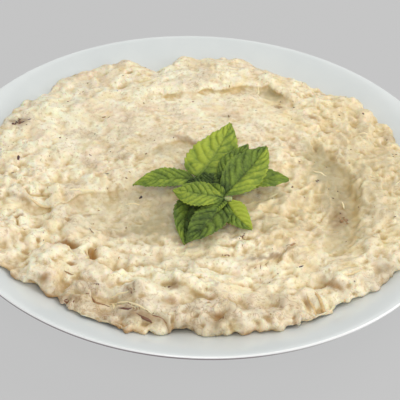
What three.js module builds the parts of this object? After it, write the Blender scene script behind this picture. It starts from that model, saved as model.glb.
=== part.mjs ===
// Baba ganoush heaped in a wide, shallow white bowl, with a sprig of mint on top.
// Millimetres, +Z up. The origin is under the bowl's centre, on the plane that it stands on.
import * as THREE from 'three';
import { mergeVertices } from 'three/addons/utils/BufferGeometryUtils.js';

// ---- Driving dimensions -------------------------------------------------------------------

// Bowl: a coupe shape on a low foot ring, with a half-round lip.
const RIM_RADIUS = 125;
const RIM_HEIGHT = 35;
const LIP_RADIUS = 0.9;
const WELL_RADIUS = 46;
const WELL_HEIGHT = 8;
const WELL_THICKNESS = 4.6;
const INNER_WALL_HANDLES = [[80, 8], [98, 28]];
const OUTER_WALL_HANDLES = [[84, 4], [100, 25]];
const LIP_ANGLES = { inside: 105, between: [60, 15, -30], outside: -75 };
const FOOT_INNER_RADIUS = 46;
const FOOT_OUTER_RADIUS = 52;
const FOOT_CHAMFER = 0.8;
const FOOT_FILLET = 0.6;
const FOOT_DRAFT = 1;
const BOWL_SIDES = 72;
const WALL_STEPS = 11;

// Dip: its usual height, how the edge of the heap turns down to the wall, and the mesh rings.
const DIP_LEVEL = 33.2;
const DIP_BANK = { rise: 0.9, from: 55, to: 92 };
const DIP_EDGE_ROUNDING = 7;
const DIP_BELLY_HEIGHT = 2.2;
const DIP_UNDERCUT = 1.2;
const DIP_RINGS = 26;
const OUTLINE_SAMPLES = 720;
const DIP_EDGE_SHARES = [0.965, 0.99, 1];
const DIP_BASE_RINGS = [[0.92, 120], [0.84, 90], [0.76, 72], [0.62, 48], [0.43, 36], [0, 1]];
const SOLID_GAP = 0.5;

// Where the heap meets the wall of the bowl: [degrees from +X, radius].
const DIP_OUTLINE = [
  [-172, 108], [-158, 110.5], [-145, 112], [-136, 113], [-127, 107.5], [-120, 110.5], [-109, 112],
  [-99, 109], [-90, 102.5], [-83, 106], [-73, 107], [-67, 110.5], [-60, 109.5], [-50, 107.5],
  [-41, 109], [-30, 111], [-14, 108.5], [4, 106.5], [18, 106.5], [27, 108.5], [35, 107], [42.5, 108],
  [48, 105.5], [60, 101.5], [70, 102.5], [79, 108], [88, 107], [98, 107.5], [107, 97.5], [112, 102.5],
  [118, 108.5], [130, 111.5], [138, 107.5], [146, 108.5], [155, 109.5], [165, 108.5],
];

// Marks of the spoon. Each is a line with the dip raised on its left side and scooped out on
// its right side; rise and fade describe the left side, scoop and reach the right side. The step
// between them is MARK_EDGE wide on each side.
const MARK_EDGE = 3.2;
const MARK_SAMPLES = 60;
const SPOON_MARKS = [
  { // the fold that runs along the back
    line: [[-37, 61], [-24, 67], [-11, 69], [0, 73], [12, 75], [24, 77], [34, 77], [41, 71], [46, 64]],
    rise: 3.4, fade: 15, scoop: 1.6, reach: 9,
  },
  { // the crest above the smooth hollow on the left
    line: [[-94, -25], [-77, -27], [-64, -26], [-56, -20], [-46, -15], [-37, -12], [-28, -12]],
    rise: 2.0, fade: 12, scoop: 1.8, reach: 14,
  },
  { // the outer side of the groove on the right
    line: [[57, 34], [69, 20], [76, 5], [79, -13], [79, -30], [75, -46], [66, -60]],
    rise: 2.6, fade: 15, scoop: 2.8, reach: 11,
  },
  { // the scrape behind the mint
    line: [[-27, 15], [-19, 24], [-10, 27], [0, 25], [6, 20]],
    rise: 1.4, fade: 9, scoop: 1.0, reach: 10,
  },
  { // the crease at the front right
    line: [[20, -65], [28, -64], [34, -59], [40, -53], [47, -50]],
    rise: 1.6, fade: 9, scoop: 1.4, reach: 8,
  },
  { // the shoulder of the front bank, left of the middle
    line: [[-3, -75], [-18, -69], [-34, -69], [-50, -73]],
    rise: 1.3, fade: 12, scoop: 1.2, reach: 8,
  },
];

// Broad hollows (below zero) and mounds (above zero): [x, y, radius, height].
const SWELLS = [
  [-37, -30, 23, -4.3], [-4, -58, 14, -2.0], [62, -42, 13, -1.6], [36, 68, 8, -1.4],
  [-12, 15, 13, -0.8], [10, -15, 26, -0.6], [30, -72, 14, -0.8], [-59, -55, 5, -2.4],
  [-47, -60, 5, -2.6], [-72, -50, 5, -1.8], [-34, -69, 5, -1.6], [-12, -78, 5, -1.8],
  [20, -97, 8, 1.8], [-1, -86, 8, 1.2], [-42, 88, 10, 1.6], [10, 96, 12, 1.4],
  [80, 68, 5, 3.2], [72, 58, 9, 1.2], [-80, -10, 12, 1.6], [-60, -38, 9, 1.6],
  [-84, -52, 9, 1.8], [-66, -76, 10, 1.2], [44, -86, 8, 1.2], [56, -82, 5, -1.8],
  [90, -25, 9, 1.2], [-84, 40, 12, 1.2], [-50, 50, 14, 0.8], [46, 30, 16, 0.6],
];

// The dip is lumpy all over, most of all at the left and along the front. In ROUGH_SIDES the
// lumps grow between these distances from the centre; the scrape of the spoon is smoother.
const LUMP_SIZES = [17, 9.5];
const LUMP_HEIGHTS = [1.2, 1.3];
const LUMP_SHARES = { least: 0.6, extra: 0.5, kept: 0.4 };
const ROUGH_SIDES = { left: [40, 80], front: [45, 80] };
const SMOOTH_SCRAPE = { x: -37, y: -27, long: 22, wide: 18 };
const LUMP_SEED = 41;

// Mint leaves. base and tip are the ends of the midrib. Seen from base to tip, roll lifts the
// right edge, fold_left and fold_right lift the two halves of the blade (all in degrees), arch
// raises the middle of the midrib and sway moves it to the right. broad is how far along it is
// widest, as a share of its length.
const LEAF_THICKNESS = 0.8;
const LEAF_STEPS_LONG = 10;
const LEAF_STEPS_WIDE = 3;
const LEAF_STALK = 0.09;
const LEAF_FULLNESS = 0.85;
const LEAF_WAVE = 0.45;
const LEAVES = [
  {
    name: 'mint_leaf_left', base: [-5.7, -7.6, 35.5], tip: [-32, -14.5, 36], width: 13.5,
    broad: 0.3, roll: 4, fold_left: 8, fold_right: 12, arch: 1.5, sway: 0.6,
  },
  {
    name: 'mint_leaf_back', base: [-4, -8, 37.7], tip: [14, 26, 46], width: 21, broad: 0.33,
    roll: 4, fold_left: -4, fold_right: -10, arch: 1, sway: 2,
  },
  {
    name: 'mint_leaf_back_small', base: [5.2, -14.6, 39.2], tip: [23, 10, 45.2], width: 11, broad: 0.42,
    roll: 0, fold_left: 0, fold_right: 16, arch: 1, sway: 0.2,
  },
  {
    name: 'mint_leaf_right_tall', base: [13.4, -25.8, 42], tip: [32, 5.5, 47], width: 18, broad: 0.38,
    roll: 0, fold_left: 36, fold_right: 4, arch: 1, sway: 1.5,
  },
  {
    name: 'mint_leaf_right_low', base: [5.2, -12, 36.4], tip: [43, -9.2, 38.3], width: 14, broad: 0.34,
    roll: 0, fold_left: 6, fold_right: 4, arch: 1, sway: 0.6,
  },
  {
    name: 'mint_leaf_centre', base: [10.6, -28.8, 42.6], tip: [-12.5, -24, 40.2], width: 17, broad: 0.4,
    roll: 5, fold_left: 0, fold_right: -4, arch: 1.5, sway: -1.7,
  },
  {
    name: 'mint_leaf_front_left', base: [1, -15, 35.2], tip: [-5.5, -53, 33.2], width: 14, broad: 0.4,
    roll: 0, fold_left: 4, fold_right: 20, arch: 0.5, sway: 3,
  },
  {
    name: 'mint_leaf_front', base: [10.8, -30.4, 39.4], tip: [-5, -53.5, 35.2], width: 17, broad: 0.4,
    roll: 0, fold_left: 14, fold_right: 5, arch: 1, sway: -2,
  },
  {
    name: 'mint_leaf_front_right', base: [15, -29.4, 39], tip: [25, -44.7, 35.3], width: 11.5,
    broad: 0.42, roll: 0, fold_left: 30, fold_right: -14, arch: 1, sway: 3.2,
  },
];

// Stem of the sprig, lying under the leaves from one whorl to the next.
const STEM_RADIUS = 1.1;
const STEM_SIDES = 8;
const STEM_STEPS = 10;
const STEM_LINE = [[-2.8, -7.2, 35.4], [3, -13.5, 36.9], [8, -21.5, 38.6], [12.4, -27.8, 40.4]];

// ---- Colours and finishes -----------------------------------------------------------------

const PORCELAIN = { color: 0xe3e7e4, roughness: 0.16, metalness: 0 };
const AUBERGINE_DIP = { color: 0xe4cf9f, roughness: 0.42, metalness: 0 };
const MINT_GREEN = { color: 0x6f9a2e, roughness: 0.5, metalness: 0 };
const STEM_GREEN = { color: 0x8fa05a, roughness: 0.5, metalness: 0 };

// ---- Shared helpers -----------------------------------------------------------------------

const degrees = THREE.MathUtils.degToRad;
const clamp = THREE.MathUtils.clamp;

function solid(name, geometry, finish) {
  geometry.deleteAttribute('normal');
  geometry.deleteAttribute('uv');
  const merged = mergeVertices(geometry, 1e-4);
  merged.computeVertexNormals();
  const mesh = new THREE.Mesh(merged, new THREE.MeshStandardMaterial(finish));
  mesh.name = name;
  return mesh;
}

function geometryOf(points, triangles) {
  const geometry = new THREE.BufferGeometry();
  const flat = points.flatMap((point) => point.toArray());
  geometry.setAttribute('position', new THREE.Float32BufferAttribute(flat, 3));
  geometry.setIndex(triangles.flat());
  geometry.setAttribute('normal', geometry.getAttribute('position').clone());
  geometry.setAttribute('uv', new THREE.Float32BufferAttribute(points.flatMap(() => [0, 0]), 2));
  return geometry;
}

// A smooth random surface between -1 and 1, with one random height at each lattice corner.
function latticeNoise(x, y, size, seed) {
  const column = Math.floor(x / size);
  const row = Math.floor(y / size);
  const corner = (i, j) => {
    const mix = Math.sin((column + i) * 127.1 + (row + j) * 311.7 + seed * 74.7) * 43758.5453;
    return 2 * (mix - Math.floor(mix)) - 1;
  };
  const u = THREE.MathUtils.smootherstep(x / size - column, 0, 1);
  const v = THREE.MathUtils.smootherstep(y / size - row, 0, 1);
  const near = THREE.MathUtils.lerp(corner(0, 0), corner(1, 0), u);
  const far = THREE.MathUtils.lerp(corner(0, 1), corner(1, 1), u);
  return THREE.MathUtils.lerp(near, far, v);
}

// ---- Bowl ---------------------------------------------------------------------------------

const lipCentre = new THREE.Vector2(RIM_RADIUS - LIP_RADIUS, RIM_HEIGHT - LIP_RADIUS);

function lipPoint(angle) {
  const turn = degrees(angle);
  return new THREE.Vector2(Math.cos(turn), Math.sin(turn)).multiplyScalar(LIP_RADIUS).add(lipCentre);
}

const innerWall = new THREE.CubicBezierCurve(
  new THREE.Vector2(WELL_RADIUS, WELL_HEIGHT),
  new THREE.Vector2(...INNER_WALL_HANDLES[0]),
  new THREE.Vector2(...INNER_WALL_HANDLES[1]),
  lipPoint(LIP_ANGLES.inside),
).getPoints(WALL_STEPS);

const outerWall = new THREE.CubicBezierCurve(
  new THREE.Vector2(FOOT_OUTER_RADIUS + FOOT_FILLET, WELL_HEIGHT - WELL_THICKNESS),
  new THREE.Vector2(...OUTER_WALL_HANDLES[0]),
  new THREE.Vector2(...OUTER_WALL_HANDLES[1]),
  lipPoint(LIP_ANGLES.outside),
).getPoints(WALL_STEPS);

// Height of the bowl's inside at a distance from its centre.
function wallHeight(radius) {
  const next = innerWall.findIndex((point) => point.x > radius);
  if (next === 0) return WELL_HEIGHT;
  if (next < 0) return RIM_HEIGHT;
  const low = innerWall[next - 1];
  const high = innerWall[next];
  return THREE.MathUtils.mapLinear(radius, low.x, high.x, low.y, high.y);
}

function makeBowl() {
  const lip = LIP_ANGLES.between.map(lipPoint);
  const foot = [
    [FOOT_OUTER_RADIUS, FOOT_CHAMFER],
    [FOOT_OUTER_RADIUS - FOOT_CHAMFER, 0],
    [FOOT_INNER_RADIUS + FOOT_CHAMFER, 0],
    [FOOT_INNER_RADIUS, FOOT_CHAMFER],
    [FOOT_INNER_RADIUS - FOOT_DRAFT, WELL_HEIGHT - WELL_THICKNESS],
    [0, WELL_HEIGHT - WELL_THICKNESS],
  ].map(([radius, height]) => new THREE.Vector2(radius, height));
  const floor = new THREE.Vector2(0, WELL_HEIGHT);
  const profile = [floor, ...innerWall, ...lip, ...[...outerWall].reverse(), ...foot].reverse();
  const geometry = new THREE.LatheGeometry(profile, BOWL_SIDES);
  geometry.rotateX(Math.PI / 2);
  return solid('bowl', geometry, PORCELAIN);
}

// ---- Dip ----------------------------------------------------------------------------------

const outlineCurve = new THREE.CatmullRomCurve3(
  DIP_OUTLINE.map(([angle, radius]) => {
    return new THREE.Vector3(radius * Math.cos(degrees(angle)), radius * Math.sin(degrees(angle)), 0);
  }),
  true,
  'centripetal',
);
const outlineSamples = outlineCurve.getPoints(OUTLINE_SAMPLES).map((point) => {
  return { angle: Math.atan2(point.y, point.x), radius: Math.hypot(point.x, point.y) };
});

function contactRadius(angle) {
  const closeness = (sample) => Math.cos(sample.angle - angle);
  return outlineSamples.reduce((best, sample) => {
    return closeness(sample) > closeness(best) ? sample : best;
  }).radius;
}

const spoonMarks = SPOON_MARKS.map((mark) => {
  const curve = new THREE.CatmullRomCurve3(mark.line.map(([x, y]) => new THREE.Vector3(x, y, 0)));
  return { ...mark, samples: curve.getPoints(MARK_SAMPLES) };
});

// Height that one spoon mark adds at a point: a soft bank on its left, a scoop on its right.
function spoonMarkHeight(mark, x, y) {
  let nearest = 0;
  let distance = Infinity;
  mark.samples.forEach((sample, index) => {
    const here = Math.hypot(sample.x - x, sample.y - y);
    if (here < distance) [nearest, distance] = [index, here];
  });
  const from = mark.samples[Math.max(nearest - 1, 0)];
  const to = mark.samples[Math.min(nearest + 1, MARK_SAMPLES)];
  const left = (to.x - from.x) * (y - from.y) - (to.y - from.y) * (x - from.x) > 0;
  const ends = Math.sqrt(Math.max(Math.sin((Math.PI * nearest) / MARK_SAMPLES), 0));
  const step = 1 - Math.exp(-((distance / MARK_EDGE) ** 2));
  if (left) return ends * mark.rise * step * Math.exp(-((distance / mark.fade) ** 2));
  return -ends * mark.scoop * step * Math.exp(-((distance / mark.reach) ** 2));
}

// How lumpy the dip is at a point.
function roughness(x, y) {
  const toLeft = THREE.MathUtils.smoothstep(-x, ...ROUGH_SIDES.left);
  const toFront = THREE.MathUtils.smoothstep(-y, ...ROUGH_SIDES.front);
  const { x: scrapeX, y: scrapeY, long, wide } = SMOOTH_SCRAPE;
  const scraped = Math.exp(-(((x - scrapeX) / long) ** 2) - ((y - scrapeY) / wide) ** 2);
  const share = LUMP_SHARES.least + LUMP_SHARES.extra * Math.max(toLeft, toFront);
  return share * (1 - (1 - LUMP_SHARES.kept) * scraped);
}

// Height of the dip's surface, before its edge turns down.
function dipSurface(x, y) {
  const bank = THREE.MathUtils.smoothstep(Math.hypot(x, y), DIP_BANK.from, DIP_BANK.to);
  let height = DIP_LEVEL + DIP_BANK.rise * bank;
  spoonMarks.forEach((mark) => {
    height += spoonMarkHeight(mark, x, y);
  });
  SWELLS.forEach(([swellX, swellY, radius, rise]) => {
    height += rise * Math.exp(-((x - swellX) ** 2 + (y - swellY) ** 2) / radius ** 2);
  });
  LUMP_SIZES.forEach((size, index) => {
    height += LUMP_HEIGHTS[index] * roughness(x, y) * latticeNoise(x, y, size, LUMP_SEED + index);
  });
  return height;
}

function dipTop(x, y, contact) {
  const turn = clamp((Math.hypot(x, y) - contact) / DIP_EDGE_ROUNDING + 1, 0, 1);
  const belly = wallHeight(contact) + DIP_BELLY_HEIGHT;
  return belly + (dipSurface(x, y) - belly) * Math.sqrt(1 - turn * turn);
}

// Joins two rings of points, each spaced evenly by angle, with triangles that face out.
function stitch(inner, outer, triangles) {
  let i = 0;
  let j = 0;
  while (i < inner.length || j < outer.length) {
    const a = inner[i % inner.length];
    const b = outer[j % outer.length];
    if (j < outer.length && (inner.length === 1 || (j + 1) * inner.length <= (i + 1) * outer.length)) {
      triangles.push([a, b, outer[(j + 1) % outer.length]]);
      j += 1;
    } else {
      if (inner.length > 1) triangles.push([a, b, inner[(i + 1) % inner.length]]);
      i += 1;
    }
  }
}

function makeDip() {
  const points = [];
  const rings = [];
  const addRing = (count, place) => {
    const ring = [];
    for (let index = 0; index < count; index += 1) {
      const angle = (2 * Math.PI * index) / count;
      const { radius, height } = place(angle, contactRadius(angle));
      ring.push(points.length);
      points.push(new THREE.Vector3(radius * Math.cos(angle), radius * Math.sin(angle), height));
    }
    rings.push(ring);
  };
  const onTop = (share) => (angle, contact) => {
    const radius = share * contact;
    return { radius, height: dipTop(radius * Math.cos(angle), radius * Math.sin(angle), contact) };
  };
  const underneath = (share, inset) => (angle, contact) => {
    const radius = share * contact - inset;
    return { radius, height: wallHeight(radius) + SOLID_GAP };
  };
  const edgeSides = 6 * DIP_RINGS;
  const [topShare, ...edgeShares] = DIP_EDGE_SHARES;
  addRing(1, onTop(0));
  for (let ring = 1; ring <= DIP_RINGS; ring += 1) {
    addRing(6 * ring, onTop((topShare * ring) / DIP_RINGS));
  }
  edgeShares.forEach((share) => addRing(edgeSides, onTop(share)));
  addRing(edgeSides, underneath(1, DIP_UNDERCUT));
  DIP_BASE_RINGS.forEach(([share, count]) => addRing(count, underneath(share, 0)));
  const triangles = [];
  rings.slice(1).forEach((ring, index) => {
    const before = rings[index];
    if (ring.length > 1) {
      stitch(before, ring, triangles);
    } else {
      before.forEach((corner, side) => {
        triangles.push([corner, ring[0], before[(side + 1) % before.length]]);
      });
    }
  });
  return solid('baba_ganoush', geometryOf(points, triangles), AUBERGINE_DIP);
}

// ---- Mint ---------------------------------------------------------------------------------

// Half-width of a leaf from base (0) to tip (1), as a share of its widest half.
function leafOutline(along, broad) {
  const lean = Math.log(0.5) / Math.log(broad);
  return Math.max(LEAF_STALK, Math.sin(Math.PI * along ** lean) ** LEAF_FULLNESS);
}

function leafFrame(leaf) {
  const base = new THREE.Vector3(...leaf.base);
  const tip = new THREE.Vector3(...leaf.tip);
  const forward = tip.clone().sub(base).normalize();
  const side = forward.clone().cross(new THREE.Vector3(0, 0, 1)).normalize();
  side.applyAxisAngle(forward, degrees(-leaf.roll));
  const up = side.clone().cross(forward);
  return { base, tip, side, up };
}

// A point on the middle of the blade; across runs from -1 at the left edge to 1 at the right.
function leafPoint(leaf, frame, along, across) {
  const bow = 4 * along * (1 - along);
  const fold = degrees(across < 0 ? leaf.fold_left : leaf.fold_right);
  const reach = (leaf.width / 2) * leafOutline(along, leaf.broad) * across;
  const wave = LEAF_WAVE * Math.sin(9 * along + 2 * across) * across * across;
  return frame.base.clone()
    .lerp(frame.tip, along)
    .addScaledVector(frame.side, reach * Math.cos(fold) + leaf.sway * bow)
    .addScaledVector(frame.up, Math.abs(reach) * Math.sin(fold) + leaf.arch * bow + wave);
}

function makeLeaf(leaf) {
  const frame = leafFrame(leaf);
  const points = [];
  const columns = 2 * LEAF_STEPS_WIDE + 1;
  [0.5, -0.5].forEach((face) => {
    for (let row = 0; row <= LEAF_STEPS_LONG; row += 1) {
      for (let column = 0; column < columns; column += 1) {
        const point = leafPoint(leaf, frame, row / LEAF_STEPS_LONG, column / LEAF_STEPS_WIDE - 1);
        const floor = dipSurface(point.x, point.y) + SOLID_GAP + LEAF_THICKNESS;
        point.z = Math.max(point.z, floor);
        points.push(point.addScaledVector(frame.up, face * LEAF_THICKNESS));
      }
    }
  });
  const lower = columns * (LEAF_STEPS_LONG + 1);
  const corner = (row, column) => row * columns + column;
  const triangles = [];
  const quad = (a, b, c, d) => triangles.push([a, b, c], [a, c, d]);
  for (let row = 0; row < LEAF_STEPS_LONG; row += 1) {
    for (let column = 0; column < columns - 1; column += 1) {
      const [a, b] = [corner(row, column), corner(row, column + 1)];
      const [d, c] = [corner(row + 1, column), corner(row + 1, column + 1)];
      quad(a, b, c, d);
      triangles.push([lower + a, lower + c, lower + b], [lower + a, lower + d, lower + c]);
    }
    const [leftA, leftB] = [corner(row, 0), corner(row + 1, 0)];
    const [rightA, rightB] = [corner(row, columns - 1), corner(row + 1, columns - 1)];
    quad(leftA, leftB, lower + leftB, lower + leftA);
    quad(rightB, rightA, lower + rightA, lower + rightB);
  }
  for (let column = 0; column < columns - 1; column += 1) {
    const [nearA, nearB] = [corner(0, column), corner(0, column + 1)];
    const [farA, farB] = [corner(LEAF_STEPS_LONG, column), corner(LEAF_STEPS_LONG, column + 1)];
    quad(nearB, nearA, lower + nearA, lower + nearB);
    quad(farA, farB, lower + farB, lower + farA);
  }
  return solid(leaf.name, geometryOf(points, triangles), MINT_GREEN);
}

function makeStem() {
  const section = new THREE.Shape();
  for (let side = 0; side < STEM_SIDES; side += 1) {
    const angle = (2 * Math.PI * side) / STEM_SIDES;
    const corner = [STEM_RADIUS * Math.cos(angle), STEM_RADIUS * Math.sin(angle)];
    if (side === 0) section.moveTo(...corner);
    else section.lineTo(...corner);
  }
  section.closePath();
  const path = new THREE.CatmullRomCurve3(STEM_LINE.map((point) => new THREE.Vector3(...point)));
  const geometry = new THREE.ExtrudeGeometry(section, { extrudePath: path, steps: STEM_STEPS });
  return solid('mint_stem', geometry, STEM_GREEN);
}

// ---- The whole dish -----------------------------------------------------------------------

const dish = new THREE.Group();
dish.add(makeBowl(), makeDip(), makeStem(), ...LEAVES.map(makeLeaf));
export default dish;
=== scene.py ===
import itertools
import math

import bmesh
import bpy
import numpy as np
from mathutils import Matrix, Vector, geometry
from mathutils.bvhtree import BVHTree


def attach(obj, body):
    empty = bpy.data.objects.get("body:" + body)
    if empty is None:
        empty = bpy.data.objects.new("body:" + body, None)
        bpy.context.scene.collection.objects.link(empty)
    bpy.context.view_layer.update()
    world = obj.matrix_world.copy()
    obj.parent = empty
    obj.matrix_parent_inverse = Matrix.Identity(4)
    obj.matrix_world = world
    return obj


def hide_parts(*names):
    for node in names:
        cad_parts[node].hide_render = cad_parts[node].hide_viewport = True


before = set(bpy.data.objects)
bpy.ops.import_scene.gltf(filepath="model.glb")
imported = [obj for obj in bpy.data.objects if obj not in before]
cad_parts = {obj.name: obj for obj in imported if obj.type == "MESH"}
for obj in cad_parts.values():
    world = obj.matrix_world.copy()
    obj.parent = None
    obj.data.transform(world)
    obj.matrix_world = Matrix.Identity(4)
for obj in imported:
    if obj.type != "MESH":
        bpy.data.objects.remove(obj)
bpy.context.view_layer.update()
MM = 0.001

# ---- Bowl
# A coupe bowl of glazed white porcelain on a low foot ring. Its section is a few points and
# two curves, spun round the axis; the lip is half round.
RIM_RADIUS = 125 * MM
RIM_HEIGHT = 35 * MM
LIP_RADIUS = 0.9 * MM
WELL_RADIUS = 46 * MM
WELL_HEIGHT = 8 * MM
UNDERSIDE_HEIGHT = 3.4 * MM
FOOT_RADII = (52 * MM, 51.2 * MM, 46.8 * MM, 46 * MM, 45 * MM)
FOOT_HEIGHTS = (0.8 * MM, 0, 0, 0.8 * MM, UNDERSIDE_HEIGHT)
INNER_HANDLES = ((80 * MM, WELL_HEIGHT), (98 * MM, 28 * MM))
OUTER_START = (52.6 * MM, UNDERSIDE_HEIGHT)
OUTER_HANDLES = ((84 * MM, 4 * MM), (100 * MM, 25 * MM))
BOWL_SIDES = 256
WALL_POINTS = 36
# The lip runs over the top, from the inner wall to the outer one; in degrees up from level.
LIP_START, LIP_END, LIP_STEP = 105, -75, 15
# Its side, up to LIP_TURN, is painted dark as a shadow line under the lip, and its top is painted light
# as a highlight; from FADE_START mm towards the right, the painted shade gives way to painted
# highlight.
LIP_TURN = 25
LIP_REACH = 80
LIP_HIGHLIGHT_SHARE = 0.8
FADE_START, FADE_LENGTH, FADE_SHARE = 20, 50, 0.8


def section(radius, height):
    return Vector((radius, 0, height))


def lip_point(angle):
    turn = math.radians(angle)
    centre = section(RIM_RADIUS - LIP_RADIUS, RIM_HEIGHT - LIP_RADIUS)
    return centre + section(math.cos(turn), math.sin(turn)) * LIP_RADIUS


inner_wall = geometry.interpolate_bezier(
    section(WELL_RADIUS, WELL_HEIGHT), *(section(*handle) for handle in INNER_HANDLES),
    lip_point(LIP_START), WALL_POINTS)
outer_wall = geometry.interpolate_bezier(
    section(*OUTER_START), *(section(*handle) for handle in OUTER_HANDLES),
    lip_point(LIP_END), WALL_POINTS)


def mesh_from(bm, name):
    """A finished mesh, smooth shaded, with its faces turned outwards."""
    bmesh.ops.recalc_face_normals(bm, faces=bm.faces[:])
    for face in bm.faces:
        face.smooth = True
    mesh = bpy.data.meshes.new(name)
    bm.to_mesh(mesh)
    bm.free()
    return mesh


def add_object(name, data):
    thing = bpy.data.objects.new(name, data)
    bpy.context.scene.collection.objects.link(thing)
    return thing


def add_piece(mesh, material, slot, *nodes):
    """Puts a mesh into the scene as a piece of the dish that stands for the named solids."""
    piece = add_object(mesh.name, mesh)
    mesh.materials.append(material)
    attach(piece, "root")
    if nodes:
        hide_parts(*nodes)
    return piece


def read(items, name, width=3):
    """A value of each item of a mesh, one row for each."""
    values = np.zeros(len(items) * width)
    items.foreach_get(name, values)
    return values.reshape(-1, width)


def keep_mask(mesh, name, values):
    mesh.attributes.new(name, "FLOAT", "POINT").data.foreach_set("value", values.astype(np.float32))


def unit(value):
    """The value, cut off below 0 and above 1."""
    return np.clip(value, 0, 1)


class Paint:
    """A material with its Principled shader, to which nodes are added one by one."""

    def __init__(self, name, **values):
        self.material = bpy.data.materials.new(name)
        self.material.use_nodes = True
        self.tree = self.material.node_tree
        self.shader = self.tree.nodes["Principled BSDF"]
        for socket, value in values.items():
            self.shader.inputs[socket.replace("_", " ")].default_value = value

    def add(self, kind, settings=None, **inputs):
        """A new node; each input is a value or the output of another node."""
        node = self.tree.nodes.new("ShaderNode" + kind)
        for key, value in (settings or {}).items():
            setattr(node, key, value)
        for key, value in inputs.items():
            index = int(key[1:]) if key[0] == "i" and key[1:].isdigit() else key.replace("_", " ")
            socket = node.inputs[index]
            if isinstance(value, bpy.types.NodeSocket):
                self.tree.links.new(value, socket)
            else:
                socket.default_value = value
        return node

    def noise(self, scale, detail=2.0, roughness=0.5, distortion=0.0):
        where = self.add("TexCoord").outputs["Object"]
        return self.add("TexNoise", Vector=where, Scale=scale, Detail=detail, Roughness=roughness,
                        Distortion=distortion).outputs[0]

    def ramp(self, factor, *stops):
        """Colours or greys along a factor: (position, colour)."""
        node = self.add("ValToRGB", Fac=factor)
        band = node.color_ramp.elements
        while len(band) < len(stops):
            band.new(0.5)
        for element, (place, colour) in zip(band, stops):
            element.position = place
            element.color = (colour,) * 3 + (1,) if isinstance(colour, float) else (*colour, 1)
        return node.outputs["Color"]

    def mix(self, factor, colour, other):
        """A colour with another one laid over it."""
        node = self.add("Mix", {"data_type": "RGBA"}, i0=factor, i6=colour, i7=(*other, 1))
        return node.outputs[2]

    def mask(self, name):
        return self.add("Attribute", {"attribute_name": name}).outputs["Fac"]

    def maths(self, operation, first, second):
        return self.add("Math", {"operation": operation}, i0=first, i1=second).outputs[0]

    def scaled(self, factor, amount):
        return self.maths("MULTIPLY", factor, amount)

    def toned(self, noise, amount):
        """The tone kept in the mesh, made uneven by a noise."""
        return self.maths("ADD", self.mask("tone"), self.scaled(noise, amount))

    def link(self, output, socket):
        self.tree.links.new(output, self.shader.inputs[socket])

    def rough(self, noise, *stops):
        self.link(self.ramp(noise, *stops), "Roughness")

    def bump(self, height, strength, distance):
        node = self.add("Bump", Height=height, Strength=strength, Distance=distance)
        self.link(node.outputs["Normal"], "Normal")


glaze = Paint("white_glaze", IOR=1.5, Coat_Weight=0.35, Coat_Roughness=0.06)
white = glaze.ramp(glaze.noise(38, detail=3), (0.35, (0.69, 0.725, 0.72)),
                   (0.7, (0.73, 0.76, 0.75)))
# Painted highlight along the top of the lip, then painted shade along its side under the lip.
white = glaze.mix(glaze.mask("lip_painted_highlight"), white, (0.95, 0.95, 0.94))
white = glaze.mix(glaze.mask("lip_painted_shade"), white, (0.26, 0.22, 0.23))
glaze.link(white, "Base Color")
glaze.rough(glaze.noise(160, detail=2), (0.3, 0.16), (0.75, 0.24))
glaze.bump(glaze.noise(90, detail=1), 0.12, 0.15 * MM)

bm = bmesh.new()
lip = [lip_point(angle) for angle in range(LIP_START - LIP_STEP, LIP_END, -LIP_STEP)]
foot = [section(radius, height) for radius, height in zip(FOOT_RADII, FOOT_HEIGHTS)]
outline = [section(0, WELL_HEIGHT), *inner_wall, *lip, *reversed(outer_wall), *foot,
           section(0, UNDERSIDE_HEIGHT)]
corners = [bm.verts.new(point) for point in outline]
edges = [bm.edges.new(pair) for pair in zip(corners, corners[1:])]
bmesh.ops.spin(bm, geom=corners + edges, cent=(0, 0, 0), axis=(0, 0, 1), angle=math.tau,
               steps=BOWL_SIDES, use_merge=True)
bmesh.ops.remove_doubles(bm, verts=bm.verts[:], dist=1e-6)
bowl_mesh = mesh_from(bm, "porcelain_bowl")
x, y, z = read(bowl_mesh.vertices, "co").T
beyond = np.hypot(x, y) - (RIM_RADIUS - LIP_RADIUS)
turn = np.degrees(np.arctan2(z - (RIM_HEIGHT - LIP_RADIUS), beyond))
on_side = (turn > -LIP_REACH) & (turn < LIP_TURN)
on_top = (turn >= LIP_TURN) & (turn < LIP_REACH)
# How much of the lip's side keeps its painted shade; towards the right it turns into painted highlight.
shade_share = 1 - FADE_SHARE * unit((x / MM - FADE_START) / FADE_LENGTH)
keep_mask(bowl_mesh, "lip_painted_shade", on_side * shade_share)
keep_mask(bowl_mesh, "lip_painted_highlight", on_side * (1 - shade_share) + on_top * LIP_HIGHLIGHT_SHARE)
add_piece(bowl_mesh, glaze.material, "porcelain", "bowl")

# ---- Heap of dip
# Chargrilled aubergine mashed with tahini: a thick, wet, lumpy paste, pushed about with a
# spoon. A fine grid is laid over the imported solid, turned down at its edge, and then raised
# and sunk by folds, lumps, strands and pits.
RIM_SAMPLES = 156
GRID_STEPS = 300
EDGE_ROWS = 18
EDGE_ROUNDING = 7 * MM
BELLY_HEIGHT = 1.3 * MM
EDGE_WAVE = 1.5 * MM
EDGE_CIRCLE = 0.1
SOLID_BLUR = 3
WALL_GAP = 0.3 * MM
UNDERSIDE_GAP = 0.05 * MM
UNDERSIDE_RINGS = (0.95, 0.90, 0.83, 0.76, 0.66, 0.56, 0.44)
HEAP_SEED = 11
# Sizes across of the relief's forms, from the broadest to the finest.
BROAD_SWELL = 24 * MM
MAIN_SWELL = 13 * MM
SOFT_FOLD = 8 * MM
BIG_LUMP = 12 * MM
RIDGE = 11 * MM
FRONT_LUMP = 7 * MM
MIDDLING_LUMP = 5.5 * MM
SMALL_LUMP = 3.0 * MM
TINY_LUMP = 1.8 * MM
# A height above the whole dish, to look straight down from.
ABOVE_ALL = 0.1
DOWN = Vector((0, 0, -1))

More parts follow.
